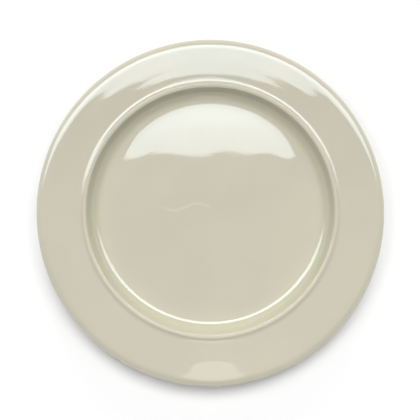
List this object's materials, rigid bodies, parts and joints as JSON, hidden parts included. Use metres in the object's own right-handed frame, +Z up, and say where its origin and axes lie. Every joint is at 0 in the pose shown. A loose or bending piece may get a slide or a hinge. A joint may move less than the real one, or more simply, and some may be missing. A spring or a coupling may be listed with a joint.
{
  "type": "dinner plate",
  "caption": "Round rimmed dinner plate of glazed stoneware: shallow well with a flat floor, raised bead round the well, wide nearly level rim, rounded lip and foot ring.",
  "frame": {"origin": "centre of the circle that the foot ring rests on", "axes": "+Z up along the plate's axis, +Y towards the side of the plate that is at the top when it is seen from above"},
  "size_m": [0.27, 0.27, 0.0203],
  "materials": {
    "ivory_glaze": "glossy ivory glaze, slightly rippled, bare fired clay on the foot ring"
  },
  "bodies": {
    "root": {"plate": "ivory_glaze"}
  },
  "joints": []
}
